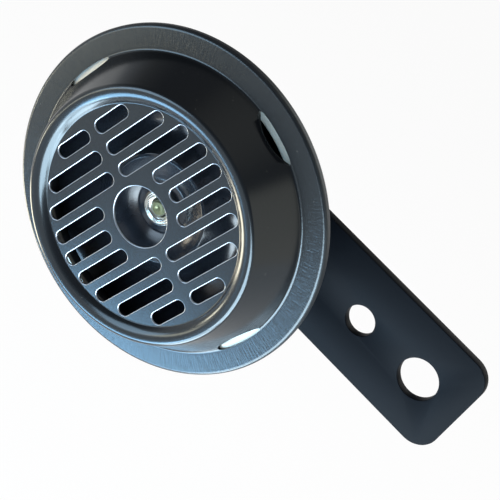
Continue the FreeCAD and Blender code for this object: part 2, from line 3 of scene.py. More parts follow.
import bmesh
import bpy
from mathutils import Matrix, Vector


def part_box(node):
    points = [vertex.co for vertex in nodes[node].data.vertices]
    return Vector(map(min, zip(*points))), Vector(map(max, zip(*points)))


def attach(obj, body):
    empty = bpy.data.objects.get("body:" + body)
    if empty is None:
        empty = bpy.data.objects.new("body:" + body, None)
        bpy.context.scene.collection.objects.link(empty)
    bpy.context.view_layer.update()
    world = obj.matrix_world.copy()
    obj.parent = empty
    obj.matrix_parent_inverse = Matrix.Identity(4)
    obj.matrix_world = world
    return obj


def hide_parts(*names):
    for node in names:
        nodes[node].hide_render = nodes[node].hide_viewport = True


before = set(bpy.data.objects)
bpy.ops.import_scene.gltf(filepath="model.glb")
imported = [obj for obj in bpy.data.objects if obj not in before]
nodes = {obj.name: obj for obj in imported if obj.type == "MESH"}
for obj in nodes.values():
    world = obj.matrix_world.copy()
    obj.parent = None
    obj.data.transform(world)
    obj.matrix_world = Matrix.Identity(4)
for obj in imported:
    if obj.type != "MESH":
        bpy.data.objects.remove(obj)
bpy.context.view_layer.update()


# Camera. It looks down on the grille from the bracket's side and is rolled, so the bracket runs to the
# lower right of the picture. The three directions are the picture's right, down and depth in the row frame.
PICTURE_RIGHT = Vector((0.68770, 0.50580, 0.52080))
PICTURE_DOWN = Vector((0.70344, -0.28682, -0.65031))
PICTURE_DEPTH = Vector((-0.17956, 0.81357, -0.55305))
CAMERA_PLACE = Vector((0.010145, -0.241384, 0.155732))
LENS = 103.35
SENSOR = 36.0

camera_data = bpy.data.cameras.new("camera")
camera_data.lens = LENS
camera_data.sensor_width = SENSOR
camera_data.sensor_fit = "HORIZONTAL"
camera_data.clip_start = 0.01
camera = bpy.data.objects.new("camera", camera_data)
turn = Matrix((PICTURE_RIGHT, -PICTURE_DOWN, -PICTURE_DEPTH)).transposed().to_4x4()
camera.matrix_world = Matrix.Translation(CAMERA_PLACE) @ turn
bpy.context.scene.collection.objects.link(camera)
bpy.context.scene.camera = camera


# Pole core and stud. One turned steel piece, zinc plated, pressed into the bottom of the housing. The stud
# has a rolled M8 thread and carries the nut that clamps the bracket.
class Wire:
    """An output socket of a node tree, written in sums and products like a number."""

    def __init__(self, out):
        self.out = out

    def node(self, kind, settings=None, sockets=None, take=0):
        """Adds one node: its settings first, then the values or links of its sockets."""
        tree = self.out.id_data
        made = tree.nodes.new(kind)
        for name, setting in (settings or {}).items():
            if name == "stops":
                elements = made.color_ramp.elements
                while len(elements) < len(setting):
                    elements.new(1.0)
                for element, (place, colour) in zip(elements, setting):
                    element.position = place
                    element.color = (*colour, 1.0)
            else:
                setattr(made, name, setting)
        for name, value in (sockets or {}).items():
            if isinstance(value, Wire):
                tree.links.new(value.out, made.inputs[name])
            else:
                made.inputs[name].default_value = value
        return Wire(made.outputs[take])

    def math(self, operation, *values):
        """One step of arithmetic with this as its first value."""
        return self.node("ShaderNodeMath", {"operation": operation}, dict(enumerate((self, *values))))

    def __add__(self, other):
        return self.math("ADD", other)

    def __radd__(self, other):
        return self.math("ADD", other)

    def __sub__(self, other):
        return self.math("SUBTRACT", other)

    def __rsub__(self, other):
        return self.node("ShaderNodeMath", {"operation": "SUBTRACT"}, {0: other, 1: self})

    def __mul__(self, other):
        return self.math("MULTIPLY", other)

    def __truediv__(self, other):
        return self.math("DIVIDE", other)

    def __pow__(self, other):
        return self.math("POWER", other)

    def clamp(self):
        """Held between 0 and 1."""
        return self.node("ShaderNodeClamp", {}, {0: self, 1: 0.0, 2: 1.0})

    def step(self, low, high):
        """0 below low, 1 above high, smooth between."""
        return self.node(
            "ShaderNodeMapRange", {"interpolation_type": "SMOOTHSTEP"}, {0: self, 1: low, 2: high}
        )

    def wave(self):
        """A wave from 0 to 1 over this angle in radians."""
        return self.math("SINE") * 0.5 + 0.5

    def parts(self):
        """The X, Y and Z of this vector."""
        split = self.node("ShaderNodeSeparateXYZ", {}, {0: self}).out.node
        return [Wire(out) for out in split.outputs]

    def colour(self, first, second):
        """The first colour where this is 0 and the second where it is 1."""
        return self.node(
            "ShaderNodeMix", {"data_type": "RGBA"}, {0: self, 6: tint(first), 7: tint(second)}, 2
        )

    def noise(self, scale, detail=2.0, rough=0.5):
        """Fractal noise on this vector, from 0 to 1, with features about one over scale across."""
        return self.node(
            "ShaderNodeTexNoise", {}, {"Vector": self, "Scale": scale, "Detail": detail, "Roughness": rough}
        )

    def grain(self, scales, detail, rough=0.5):
        """Noise on this vector that has its own scale along X, Y and Z."""
        scaled = self.node("ShaderNodeMapping", {}, {"Vector": self, "Scale": scales})
        return scaled.noise(1.0, detail, rough)


def tint(colour):
    """A colour that a socket takes: a Wire as it is, or red, green and blue made opaque."""
    return colour if isinstance(colour, Wire) else (*colour, 1.0)


def new_material(name):
    """A material with its shader, and its object coordinates in metres as the first Wire."""
    material = bpy.data.materials.new(name)
    material.use_nodes = True
    tree = material.node_tree
    shader = tree.nodes["Principled BSDF"]
    place = Wire(tree.nodes.new("ShaderNodeTexCoord").outputs["Object"])
    return material, shader, place


def feed(shader, sockets, height=None, depth=0.00002):
    """Sets or links the shader's sockets, and makes a height from 0 to 1 relief of that depth in metres."""
    tree = shader.id_data
    for name, value in sockets.items():
        if isinstance(value, Wire):
            tree.links.new(value.out, shader.inputs[name])
        else:
            shader.inputs[name].default_value = value
    if height is not None:
        bump = height.node("ShaderNodeBump", {}, {"Strength": 1.0, "Distance": depth, "Height": height})
        tree.links.new(bump.out, shader.inputs["Normal"])


def dress(material, *names):
    """Gives CAD nodes their material."""
    for name in names:
        slots = nodes[name].data.materials
        slots.clear()
        slots.append(material)


def around(place, centre):
    """Distance from a line along Y through centre, angle round it in turns, and depth along it."""
    x, depth, z = place.parts()
    x, z = x - centre.x, z - centre.z
    radius = (x * x + z * z) ** 0.5
    angle = z.math("ARCTAN2", x) / (2 * math.pi)
    return radius, angle, depth


def bent_line(corners, steps):
    """Points along a line with bends, each with the direction square to the line on its right."""
    points = []

    def add(place, direction):
        points.append((place, Vector((-direction.y, direction.x))))

    places = [Vector(corner[:2]) for corner in corners]
    add(places[0], (places[1] - places[0]).normalized())
    for before, here, after, (_, _, radius) in zip(places, places[1:], places[2:], corners[1:]):
        come, go = (here - before).normalized(), (after - here).normalized()
        bend = come.angle_signed(go)
        leg = radius * math.tan(abs(bend) / 2)
        add(here - come * (leg + COLLAR), come)
        side = math.copysign(1, -bend)
        centre = here - come * leg + Vector((-come.y, come.x)) * radius * side
        for step in range(steps + 1):
            part = bend * -step / steps
            direction = Vector((
                come.x * math.cos(part) - come.y * math.sin(part),
                come.x * math.sin(part) + come.y * math.cos(part),
            ))
            add(centre - Vector((-direction.y, direction.x)) * radius * side, direction)
        add(here + go * (leg + COLLAR), go)
    add(places[-1], (places[-1] - places[-2]).normalized())
    return points


def turn_line(mesh, line, sides, closed=False):
    """Turns points of radius and depth round the Z axis into the bmesh, and returns the rings."""
    rings = []
    for radius, depth in line:
        rings.append([
            mesh.verts.new((radius * math.cos(a), radius * math.sin(a), depth))
            for a in (2 * math.pi * step / sides for step in range(sides))
        ])
    for first, second in zip(rings, rings[1:] + rings[:1] if closed else rings[1:]):
        for step in range(sides):
            following = (step + 1) % sides
            mesh.faces.new((first[step], first[following], second[following], second[step]))
    return rings


def new_piece(name, mesh, material):
    """A finished piece at the origin with one material."""
    piece = bpy.data.objects.new(name, mesh)
    bpy.context.scene.collection.objects.link(piece)
    mesh.materials.clear()
    mesh.materials.append(material)
    return piece


def finish_mesh(mesh, edge_angle):
    """Smooth shading with sharp edges where two faces meet at more than the angle in degrees."""
    mesh.shade_smooth()
    mesh.set_sharp_from_angle(angle=math.radians(edge_angle))


def into_row(mesh, depth, turn=0.0):
    """Takes a mesh made round the Z axis to the horn's axis, with its own depth counted back from there."""
    along, across = math.cos(turn), math.sin(turn)
    mesh.transform(Matrix((
        (along, across, 0, AXIS.x),
        (0, 0, 1, depth),
        (across, -along, 0, AXIS.z),
        (0, 0, 0, 1),
    )))


def new_tree(name, sizes):
    """A Geometry Nodes tree with a named input for each size, and those inputs as Wires."""
    tree = bpy.data.node_groups.new(name, "GeometryNodeTree")
    tree.interface.new_socket("Geometry", in_out="OUTPUT", socket_type="NodeSocketGeometry")
    for label in sizes:
        tree.interface.new_socket(label, in_out="INPUT", socket_type="NodeSocketFloat")
    inputs = tree.nodes.new("NodeGroupInput")
    return tree, [Wire(inputs.outputs[label]) for label in sizes]


def grown_mesh(name, tree, last, material, sizes):
    """Ends the tree in plain geometry with its material, runs it once and returns the mesh."""
    last = last.node("GeometryNodeRealizeInstances", {}, {0: last})
    last = last.node("GeometryNodeSetMaterial", {}, {0: last, "Material": material})
    tree.links.new(last.out, tree.nodes.new("NodeGroupOutput").inputs[0])
    seed = bpy.data.objects.new(name, bpy.data.meshes.new(name))
    bpy.context.scene.collection.objects.link(seed)
    modifier = seed.modifiers.new(name, "NODES")
    modifier.node_group = tree
    for item in tree.interface.items_tree:
        if item.in_out == "INPUT":
            modifier[item.identifier] = sizes[item.name]
    depsgraph = bpy.context.evaluated_depsgraph_get()
    mesh = bpy.data.meshes.new_from_object(seed.evaluated_get(depsgraph))
    bpy.data.objects.remove(seed)
    return mesh


cover_low, cover_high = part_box("front_cover")
AXIS = Vector(((cover_low.x + cover_high.x) / 2, 0, 0))

# The cover's bead stands this far in front of its flange, and depths are counted from the flange's front.
COVER_DEPTH = 0.0097
FLANGE_FRONT = cover_low.y + COVER_DEPTH

# A ring of points this far on each side of a bend keeps the bend's shading off the straight parts.
COLLAR = 0.00003

# Points closer together than this are joined.
MERGE = 0.000002
TURNING_MARKS = 21000

zinc, shader, place = new_material("zinc_plate")
radius, _, _ = around(place, AXIS)
cloud = place.noise(260, detail=4, rough=0.6)
stain = place.noise(90, detail=2)
turned = (radius * TURNING_MARKS + cloud * 3).wave()
feed(
    shader,
    {
        "Base Color": stain.step(0.4, 0.7).colour((0.62, 0.63, 0.66), (0.70, 0.68, 0.60)),
        "Metallic": 1.0,
        "Roughness": 0.24 + cloud * 0.2,
    },
    height=turned * 0.4 + cloud,
    depth=0.000012,
)

THREAD_START = 0.0182
STUD_END = 0.0325
THREAD_SIZES = {
    "Radius": 0.0040,
    "Pitch": 0.00125,
    "Thread Depth": 0.00072,
    "Length": STUD_END - THREAD_START,
    "Point Radius": 0.0032,
}
THREAD_SIDES = 48
THREAD_RINGS = 138

# Where the thread's flank begins and ends, from the middle of a crest at 0 to the middle of a root at 1.
THREAD_CREST = 0.12
THREAD_ROOT = 0.88

# Radius and depth behind the flange's front of each corner of the turned core, up to the thread.
CORE_LINE = (
    (0.0, 0.0065),
    (0.0062, 0.0065),
    (0.0066, 0.0069),
    (0.0066, 0.0174),
    (0.0040, 0.0174),
    (0.0040, THREAD_START),
)

tree, (stud_radius, pitch, thread_depth, length, point_radius) = new_tree("screw thread", THREAD_SIZES)
tube = stud_radius.node(
    "GeometryNodeMeshCylinder",
    {"fill_type": "NONE"},
    {"Vertices": THREAD_SIDES, "Side Segments": THREAD_RINGS, "Radius": stud_radius, "Depth": length},
)
spot = tube.node("GeometryNodeInputPosition")
x, y, z = spot.parts()
run = z + length / 2
flank = ((run / pitch - y.math("ARCTAN2", x) / (2 * math.pi)).math("FRACT") - 0.5).math("ABSOLUTE") * 2
groove = flank.step(THREAD_CREST, THREAD_ROOT) * thread_depth * (run / pitch).clamp()
wide = (stud_radius - groove).math("MINIMUM", point_radius + (length - run))
spot = run.node("ShaderNodeCombineXYZ", {}, {0: x / stud_radius * wide, 1: y / stud_radius * wide, 2: run})
tube = tube.node("GeometryNodeSetPosition", {}, {0: tube, "Position": spot})
thread_mesh = grown_mesh("stud_thread", tree, tube, zinc, THREAD_SIZES)
core = bmesh.new()
core.from_mesh(thread_mesh)
bmesh.ops.translate(core, verts=core.verts, vec=(0, 0, THREAD_START))
turn_line(core, CORE_LINE, THREAD_SIDES)
stud_tip = ((THREAD_SIZES["Point Radius"], STUD_END), (0.0, STUD_END))
turn_line(core, stud_tip, THREAD_SIDES)
bmesh.ops.remove_doubles(core, verts=core.verts, dist=MERGE)
bmesh.ops.recalc_face_normals(core, faces=core.faces)
core.to_mesh(thread_mesh)
core.free()
into_row(thread_mesh, FLANGE_FRONT)
finish_mesh(thread_mesh, edge_angle=40)
piece = new_piece("core_with_stud", thread_mesh, zinc)
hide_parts("pole_core")
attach(piece, "root")


# Collar, spring washer, nuts and adjusting screw. Zinc-plated steel: the collar keeps the bracket clear of
# the housing, the nut clamps it against the spring washer, and the small nut locks the headless screw.
FLAT_WITHIN = math.radians(0.5)
ROUND_OVER = math.radians(38)
ROUND_STEPS = 3


def softened(node, material, width):
    """A copy of a node with its sharp edges rounded, which takes the node's place."""
    copy = bmesh.new()
    copy.from_mesh(nodes[node].data)
    bmesh.ops.remove_doubles(copy, verts=copy.verts, dist=MERGE)
    bmesh.ops.dissolve_limit(copy, angle_limit=FLAT_WITHIN, verts=copy.verts, edges=copy.edges)
    mesh = bpy.data.meshes.new(node + "_soft")
    copy.to_mesh(mesh)
    copy.free()
    made = new_piece(node + "_soft", mesh, material)
    bevel = made.modifiers.new("round", "BEVEL")
    bevel.width = width
    bevel.segments = ROUND_STEPS
    bevel.limit_method = "ANGLE"
    bevel.angle_limit = ROUND_OVER
    depsgraph = bpy.context.evaluated_depsgraph_get()
    smooth = bpy.data.meshes.new_from_object(made.evaluated_get(depsgraph))
    made.modifiers.clear()
    made.data = smooth
    finish_mesh(smooth, edge_angle=30)
    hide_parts(node)
    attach(made, "root")


softened("stud_collar", zinc, width=0.00025)
softened("spring_washer", zinc, width=0.00022)
softened("hexagon_nut", zinc, width=0.00018)
softened("screw_lock_nut", zinc, width=0.00012)
dress(zinc, "adjusting_screw")


# Coil. A nylon bobbin with enamelled copper wire wound on it in level layers. It sits on the pole core,
# inside the housing.
nylon, shader, place = new_material("bobbin_nylon")
cloud = place.noise(400, detail=3)
feed(
    shader,
    {
        "Base Color": cloud.colour((0.62, 0.58, 0.48), (0.70, 0.67, 0.58)),
        "Roughness": 0.42 + cloud * 0.15,
    },
    height=cloud,
    depth=0.00001,
)
dress(nylon, "coil_bobbin")

WIRE = 0.00042
copper, shader, place = new_material("enamelled_copper")
_, angle, depth = around(place, AXIS)
# Each wire turn is a ridge, and the copper colour follows it: lighter on each crown and darker in the
# grooves between turns, a painted highlight and painted shade on top of the relief.
turns = ((depth + angle * WIRE) / WIRE * 2 * math.pi).wave()
cloud = place.noise(300, detail=3)
feed(
    shader,
    {
        "Base Color": (turns * 0.5 + cloud * 0.5).colour((0.30, 0.075, 0.02), (0.62, 0.22, 0.075)),
        "Metallic": 0.85,
        "Roughness": 0.22 + cloud * 0.12,
        "Coat Weight": 0.6,
    },
    height=turns,
    depth=0.00012,
)
dress(copper, "coil_winding")


# Contact breaker. Two bronze spring arms with tungsten points, stacked between phenolic board and riveted
# to the housing. A button on the armature opens them.
ROLLING_GRAIN = (60.0, 400.0, 2600.0)
bronze, shader, place = new_material("spring_bronze")
grain = place.grain(ROLLING_GRAIN, detail=3)
cloud = place.noise(180, detail=3)
feed(
    shader,
    {
        "Base Color": cloud.colour((0.60, 0.38, 0.17), (0.74, 0.52, 0.27)),
        "Metallic": 1.0,
        "Roughness": 0.26 + grain * 0.16,
    },
    height=grain,
    depth=0.000006,
)
dress(bronze, "moving_contact_arm", "fixed_contact_arm")

tungsten, shader, place = new_material("tungsten")
cloud = place.noise(900, detail=4, rough=0.6)
feed(
    shader,
    {
        "Base Color": cloud.colour((0.34, 0.34, 0.36), (0.50, 0.50, 0.52)),
        "Metallic": 1.0,
        "Roughness": 0.36 + cloud * 0.25,
    },
    height=cloud,
    depth=0.000015,
)
dress(tungsten, "moving_contact_point", "fixed_contact_point")

PAPER_FIBRES = (220.0, 3500.0, 900.0)
board, shader, place = new_material("phenolic_board")
fibre = place.grain(PAPER_FIBRES, detail=4, rough=0.6)
cloud = place.noise(700, detail=3)
feed(
    shader,
    {
        "Base Color": (fibre * 0.7 + cloud * 0.3).step(0.35, 0.7).colour(
            (0.075, 0.026, 0.010), (0.20, 0.085, 0.035)
        ),
        "Roughness": 0.42 + cloud * 0.2,
    },
    height=fibre,
    depth=0.00002,
)
dress(
    board,
    "contact_block",
    "contact_insulator",
    "armature_button",
    "left_terminal_insulator",
    "right_terminal_insulator",
    "inner_terminal_insulator",
)


# Terminals and rivets. Tinned brass spades, 6.3 mm wide, held with insulating plates by hollow brass
# rivets. They stand at the back of the housing.
DRAWN_GRAIN = (3200.0, 600.0, 90.0)
tinned, shader, place = new_material("tinned_brass")
drawn = place.grain(DRAWN_GRAIN, detail=3)
worn = place.noise(340, detail=4, rough=0.65).step(0.52, 0.72)
feed(
    shader,
    {
        "Base Color": worn.colour((0.66, 0.65, 0.61), (0.70, 0.60, 0.38)),
        "Metallic": 1.0,
        "Roughness": 0.24 + drawn * 0.2,
    },
    height=drawn,
    depth=0.000008,
)
softened("left_terminal", tinned, width=0.00014)
softened("right_terminal", tinned, width=0.00014)
dress(tinned, "contact_rivet_outer", "contact_rivet_inner", "terminal_rivet")


# Rear housing. A deep-drawn steel cup with a shoulder, painted black all over. The cover's edge is folded
# over its flange.
housing, shader, place = new_material("housing_paint")
peel = place.noise(900, detail=3)
cloud = place.noise(60, detail=3)
dust = place.noise(2600, detail=2).step(0.62, 0.8)
feed(
    shader,
    {
        "Base Color": (cloud * 0.8 + dust * 0.4).colour((0.010, 0.011, 0.013), (0.022, 0.024, 0.028)),
        "Roughness": 0.26 + cloud * 0.14 + dust * 0.15,
        "Specular IOR Level": 0.45,
    },
    height=peel,
    depth=0.00003,
)
dress(housing, "rear_housing")


# Diaphragm, armature and the sheet parts clamped with them. Bare steel: the diaphragm is a thin disc with
# fine rings from pressing, seen as bright metal through the cover's four vents. Further in it is painted
# dark: painted shade for the steel that lies in shadow behind the tone disc and the cover. A paper gasket
# seals it against the housing's rim.
SPIGOT_EDGE = (0.0014, 0.0017)
# Between these radii the diaphragm's colour is painted dark: painted shade.
SHADE_FROM = (0.0180, 0.0200)
SHADE_TO = (0.0282, 0.0285)
PRESSING_RINGS = 9000

steel, shader, place = new_material("bare_steel")
radius, _, _ = around(place, AXIS)
cloud = place.noise(240, detail=4, rough=0.6)
rings = (radius * PRESSING_RINGS + cloud * 2.4).wave()
# The spigot's end, seen in the middle of the nut, is painted dark green-grey: painted shade with a painted
# greenish reflection.
spigot = 1 - radius.step(*SPIGOT_EDGE)
# The ring from 18 to 28.5 mm is painted dark: painted shade where the steel lies in the shadow of the tone
# disc and the cover.
painted_shade = radius.step(*SHADE_FROM) * (1 - radius.step(*SHADE_TO))
bare = cloud.colour((0.24, 0.235, 0.21), (0.36, 0.355, 0.32))
feed(
    shader,
    {
        "Base Color": spigot.colour(painted_shade.colour(bare, (0.030, 0.034, 0.040)), (0.16, 0.18, 0.11)),
        "Metallic": 1.0,
        "Roughness": 0.34 + cloud * 0.18,
    },
    height=rings * 0.6 + cloud,
    depth=0.000012,
)
dress(steel, "diaphragm", "armature", "tone_disc_spacer", "contact_clamp_plate")

paper, shader, place = new_material("gasket_paper")
fibre = place.noise(1500, detail=5, rough=0.7)
feed(
    shader,
    {
        "Base Color": fibre.step(0.3, 0.7).colour((0.13, 0.11, 0.085), (0.27, 0.24, 0.19)),
        "Roughness": 0.8 + fibre * 0.15,
    },
    height=fibre,
    depth=0.00004,
)
dress(paper, "rim_gasket")


# Tone disc. A pressed steel disc in gloss black paint: a dished seat in the middle, a raised ridge round it
# and a wide curve down to the flat. A round plated nut holds it on the armature's spigot, and shows through
# the grille's middle hole.
AROUND = 240
BEND_STEPS = 7
TONE_SHEET = 0.0008
DISC_RINGS = 5200
NUT_RINGS = 16000

# Radius and depth behind the flange's front of each corner of the disc, and the radius of its bend.
TONE_CORNERS = (
    (0.0019, -0.0007, 0),
    (0.00545, -0.0007, 0.0016),
    (0.0103, -0.0028, 0.00035),
    (0.0109, -0.0028, 0.00025),
    (0.01557, 0.0013, 0.0060),
    (0.0266, 0.0013, 0),
)

disc_paint, shader, place = new_material("tone_disc_black")
disc = bmesh.new()
front = bent_line(TONE_CORNERS, BEND_STEPS)
line = [spot for spot, _ in front] + [spot + square * TONE_SHEET for spot, square in reversed(front)]
turn_line(disc, line, AROUND, closed=True)
bmesh.ops.recalc_face_normals(disc, faces=disc.faces)
disc_mesh = bpy.data.meshes.new("tone_disc_pressing")
disc.to_mesh(disc_mesh)
disc.free()
into_row(disc_mesh, FLANGE_FRONT)
finish_mesh(disc_mesh, edge_angle=32)
piece = new_piece("tone_disc_pressing", disc_mesh, disc_paint)
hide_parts("tone_disc")
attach(piece, "root")

radius, _, _ = around(place, AXIS)
cloud = place.noise(220, detail=3)
feed(
    shader,
    {
        "Base Color": cloud.colour((0.0080, 0.0105, 0.0150), (0.0120, 0.0155, 0.0210)),
        "Roughness": 0.15 + cloud * 0.06,
    },
    height=cloud + (radius * DISC_RINGS).math("SINE") * 0.2,
    depth=0.000008,
)

plate, shader, place = new_material("bright_plate")
radius, _, _ = around(place, AXIS)
cloud = place.noise(500, detail=3)
rings = (radius * NUT_RINGS).wave()
feed(
    shader,
    {
        "Base Color": cloud.colour((0.66, 0.68, 0.64), (0.82, 0.84, 0.80)),
        "Metallic": 1.0,
        "Roughness": 0.14 + cloud * 0.14,
    },
    height=rings,
    depth=0.00002,
)
dress(plate, "tone_disc_nut")


# Front cover. One steel pressing in gloss black paint: a slotted grille in a bead, a deep skirt with four
# narrow vents, and a flange that is folded back over the housing's edge. The slots are punched from the
# front, which rolls their front edges over.
SHEET = 0.00055
PLATE_RADIUS = 0.02164
GRILLE_RISE = 0.0084
BEAD_OUTER = 0.0252
SKIRT_FOOT = 0.02995
SKIRT_SLOPE = COVER_DEPTH / (SKIRT_FOOT - BEAD_OUTER)
SKIRT_RINGS = (0.0264, 0.0272, 0.0280, 0.0285)
SLOT_TURN = math.radians(71.5)
RIM_RADIUS = 0.03499
LIP_BACK = 0.0022
LIP_INNER = 0.0319

# Radius and depth behind the flange's front of each corner of the pressing, and the radius of its bend. The
# rings on the straight skirt keep its shading even where the vents cut it.
COVER_CORNERS = (
    (PLATE_RADIUS, -GRILLE_RISE, 0),
    (0.0218, -GRILLE_RISE, 0.0003),
    (0.0231, -COVER_DEPTH, 0.0030),
    (BEAD_OUTER, -COVER_DEPTH, 0.0011),
    *((radius, (radius - SKIRT_FOOT) * SKIRT_SLOPE, 0) for radius in SKIRT_RINGS),
    (SKIRT_FOOT, 0.0, 0.0007),
    (RIM_RADIUS, 0.0, 0.00075),
    (RIM_RADIUS, LIP_BACK, 0.00075),
    (LIP_INNER, LIP_BACK, 0),
)

# The grille's punched plate: eighteen slots in nine rows and the middle hole, each with a rolled edge.
SLOTS = 18
ROWS_ASIDE = 4
OPENING_SIDES = 64
WALL_RINGS = 10
GRILLE_SIZES = {
    "Plate Radius": PLATE_RADIUS,
    "Sheet": SHEET,
    "Hole Radius": 0.0060,
    "Row Pitch": 0.00457,
    "Slot Radius": 0.0013,
    "Slot Reach": 0.02141,
    "Web": 0.0011,
    "Side Boss": 0.0073,
    "Middle Boss": 0.0085,
    "Front Roll": 0.00017,
    "Back Roll": 0.00008,
    "Collar": 0.00004,
}

cover_paint, shader, place = new_material("cover_paint")

tree, inputs = new_tree("slotted grille", GRILLE_SIZES)
plate_radius, sheet, hole_radius, pitch, slot_radius, reach = inputs[:6]
web, side_boss, middle_boss, roll, back_roll, collar = inputs[6:]

# one point for each opening, which carries its radius, half its straight length and its middle: a left and
# a right slot in each row, which stop short of the boss in the three middle rows, and then the middle hole
index = sheet.node("GeometryNodeInputIndex")
row = (index / 2).math("FLOOR") - ROWS_ASIDE
side = index.math("MODULO", 2) * 2 - 1
slotted = index.math("LESS_THAN", SLOTS - 0.5)
height = row * pitch
outer = ((reach - slot_radius) * (reach - slot_radius) - height * height) ** 0.5
middle_row = row.math("ABSOLUTE").math("LESS_THAN", 0.5)
boss_row = row.math("ABSOLUTE").math("LESS_THAN", 1.5)
inner = web + boss_row * (side_boss - web) + middle_row * (middle_boss - side_boss) + slot_radius
half = (outer - inner) / 2 * slotted
middle = index.node(
    "ShaderNodeCombineXYZ", {}, {0: side * (outer + inner) / 2 * slotted, 1: height * slotted}
)
radius = hole_radius + slotted * (slot_radius - hole_radius)
points = index.node("GeometryNodePoints", {}, {"Count": SLOTS + 1})
carried = (("half", "FLOAT", half), ("size", "FLOAT", radius), ("middle", "FLOAT_VECTOR", middle))
for label, kind, value in carried:
    points = points.node(
        "GeometryNodeStoreNamedAttribute", {"data_type": kind}, {0: points, "Name": label, "Value": value}
    )
half, radius, middle = (
    points.node("GeometryNodeInputNamedAttribute", {"data_type": kind}, {"Name": label})
    for label, kind, value in carried
)

# the walls of the openings, made as circles of radius 1 and then stretched to each outline
half_side = (0.0, 0.0, math.pi / OPENING_SIDES)
ring = points.node(
    "GeometryNodeMeshCylinder",
    {"fill_type": "NONE"},
    {"Vertices": OPENING_SIDES, "Side Segments": WALL_RINGS, "Radius": 1.0, "Depth": 1.0},
)
ring = ring.node("GeometryNodeTransform", {}, {0: ring, "Rotation": half_side})
walls = points.node("GeometryNodeInstanceOnPoints", {}, {"Points": points, "Instance": ring})
walls = walls.node("GeometryNodeRealizeInstances", {}, {0: walls})
spot = walls.node("GeometryNodeInputPosition")
x, y, z = spot.parts()


def opening_edge(x, y, widening, depth):
    """A place on an opening's outline, widened, from a place on a circle of radius 1."""
    wide = radius + widening
    return x.node("ShaderNodeCombineXYZ", {}, {0: x * wide + x.math("SIGN") * half, 1: y * wide, 2: depth})


# each wall from the front: a collar on the flat, the rolled edge, the punched wall, then the same behind
COLLAR_SHARE = 0.1
ROLL_SHARE = 0.3
WALL_SHARE = 1 - 2 * (COLLAR_SHARE + ROLL_SHARE)
WORN_UP_TO = 0.5
WORN_FADE = 0.15
along = z + 0.5
front_part = ((along - COLLAR_SHARE) / ROLL_SHARE).clamp() * (math.pi / 2)
back_part = ((1 - COLLAR_SHARE - along) / ROLL_SHARE).clamp() * (math.pi / 2)
widening = (
    collar * ((COLLAR_SHARE - along) / COLLAR_SHARE).clamp()
    + roll * (1 - front_part.math("SINE"))
    + back_roll * (1 - back_part.math("SINE"))
    + collar * ((along - (1 - COLLAR_SHARE)) / COLLAR_SHARE).clamp()
)
depth = (
    roll * (1 - front_part.math("COSINE"))
    + (sheet - roll - back_roll) * ((along - COLLAR_SHARE - ROLL_SHARE) / WALL_SHARE).clamp()
    + back_roll * back_part.math("COSINE")
)
spot = opening_edge(x, y, widening, depth)
spot = spot.node("ShaderNodeVectorMath", {"operation": "ADD"}, {0: spot, 1: middle})
worn = ((along - COLLAR_SHARE) / WORN_FADE).clamp() * ((WORN_UP_TO - along) / WORN_FADE).clamp()
walls = walls.node(
    "GeometryNodeStoreNamedAttribute", {"data_type": "FLOAT"}, {0: walls, "Name": "worn", "Value": worn}
)
walls = walls.node("GeometryNodeSetPosition", {}, {0: walls, "Position": spot})

# the flat faces between the openings, filled between the same outlines
faces = [walls]
outline = points.node("GeometryNodeCurvePrimitiveCircle", {}, {"Resolution": OPENING_SIDES, "Radius": 1.0})
outline = outline.node("GeometryNodeTransform", {}, {0: outline, "Rotation": half_side})
rim_curve = points.node(
    "GeometryNodeCurvePrimitiveCircle", {}, {"Resolution": AROUND, "Radius": plate_radius}
)
for edge_roll, depth in ((roll, 0.0), (back_roll, sheet)):
    loops = points.node("GeometryNodeInstanceOnPoints", {}, {"Points": points, "Instance": outline})
    loops = loops.node("GeometryNodeRealizeInstances", {}, {0: loops})
    spot = loops.node("GeometryNodeInputPosition")
    x, y, _ = spot.parts()
    spot = opening_edge(x, y, edge_roll + collar, 0.0)
    spot = spot.node("ShaderNodeVectorMath", {"operation": "ADD"}, {0: spot, 1: middle})
    loops = loops.node("GeometryNodeSetPosition", {}, {0: loops, "Position": spot})
    both = loops.node("GeometryNodeJoinGeometry")
    for curves in (loops, rim_curve):
        tree.links.new(curves.out, both.out.node.inputs[0])
    flat = both.node("GeometryNodeFillCurve", {}, {0: both})
    lift = flat.node("ShaderNodeCombineXYZ", {}, {2: depth})
    faces.append(flat.node("GeometryNodeSetPosition", {}, {0: flat, "Offset": lift}))
whole = faces[0].node("GeometryNodeJoinGeometry")
for part in faces:
    tree.links.new(part.out, whole.out.node.inputs[0])
cover_mesh = grown_mesh("front_cover_pressing", tree, whole, cover_paint, GRILLE_SIZES)

# the bead, the skirt, the flange and the folded lip, joined to the plate's edge
shell = bmesh.new()
shell.from_mesh(cover_mesh)
bmesh.ops.translate(shell, verts=shell.verts, vec=(0, 0, -GRILLE_RISE))
front = bent_line(COVER_CORNERS, BEND_STEPS)
line = [spot for spot, _ in front] + [spot + square * SHEET for spot, square in reversed(front)]
turn_line(shell, line, AROUND)
bmesh.ops.remove_doubles(shell, verts=shell.verts, dist=MERGE)
bmesh.ops.recalc_face_normals(shell, faces=shell.faces)
shell.to_mesh(cover_mesh)
shell.free()

